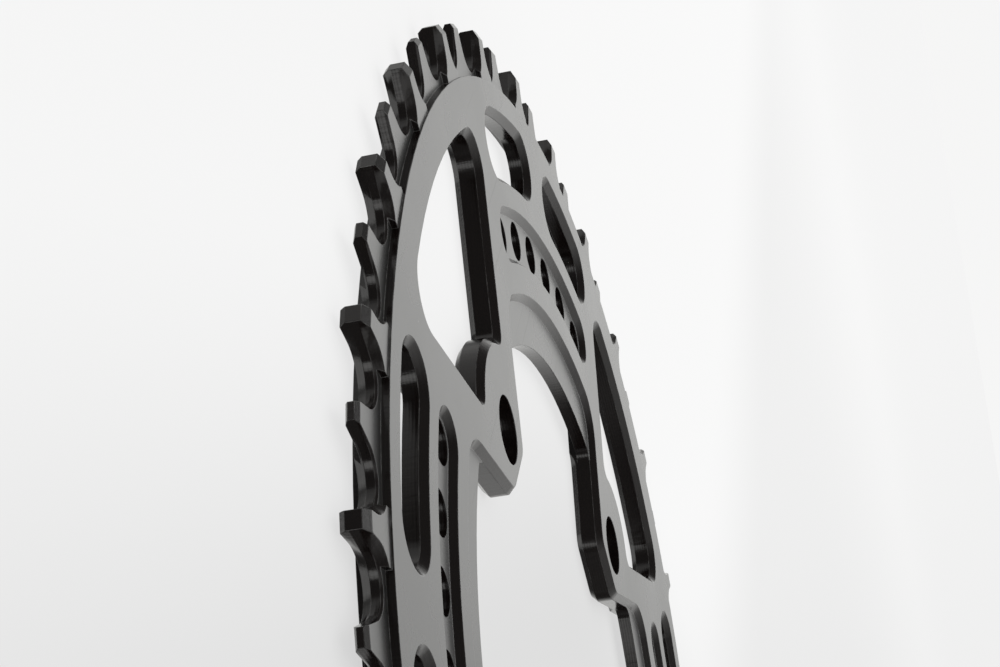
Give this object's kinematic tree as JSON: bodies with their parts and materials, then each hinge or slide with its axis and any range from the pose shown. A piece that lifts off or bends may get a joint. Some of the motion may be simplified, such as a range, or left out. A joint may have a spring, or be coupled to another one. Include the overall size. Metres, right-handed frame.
{
  "type": "chainring",
  "caption": "Flat toothed ring for a bicycle crank, with inward bolt arms, large windows, arc-shaped slots, shallow pockets and alternating wide and narrow teeth.",
  "frame": {"origin": "on the ring's axis, in the plane of the arms' back faces, which the ring lies on", "axes": "+Z along the ring's axis, towards its front face; +X through one bolt arm and +Y through the next"},
  "size_m": [0.216, 0.216, 0.0045],
  "materials": {
    "chainring": "satin black anodised, machined from plate"
  },
  "bodies": {
    "root": {"chainring": "chainring"}
  },
  "joints": []
}
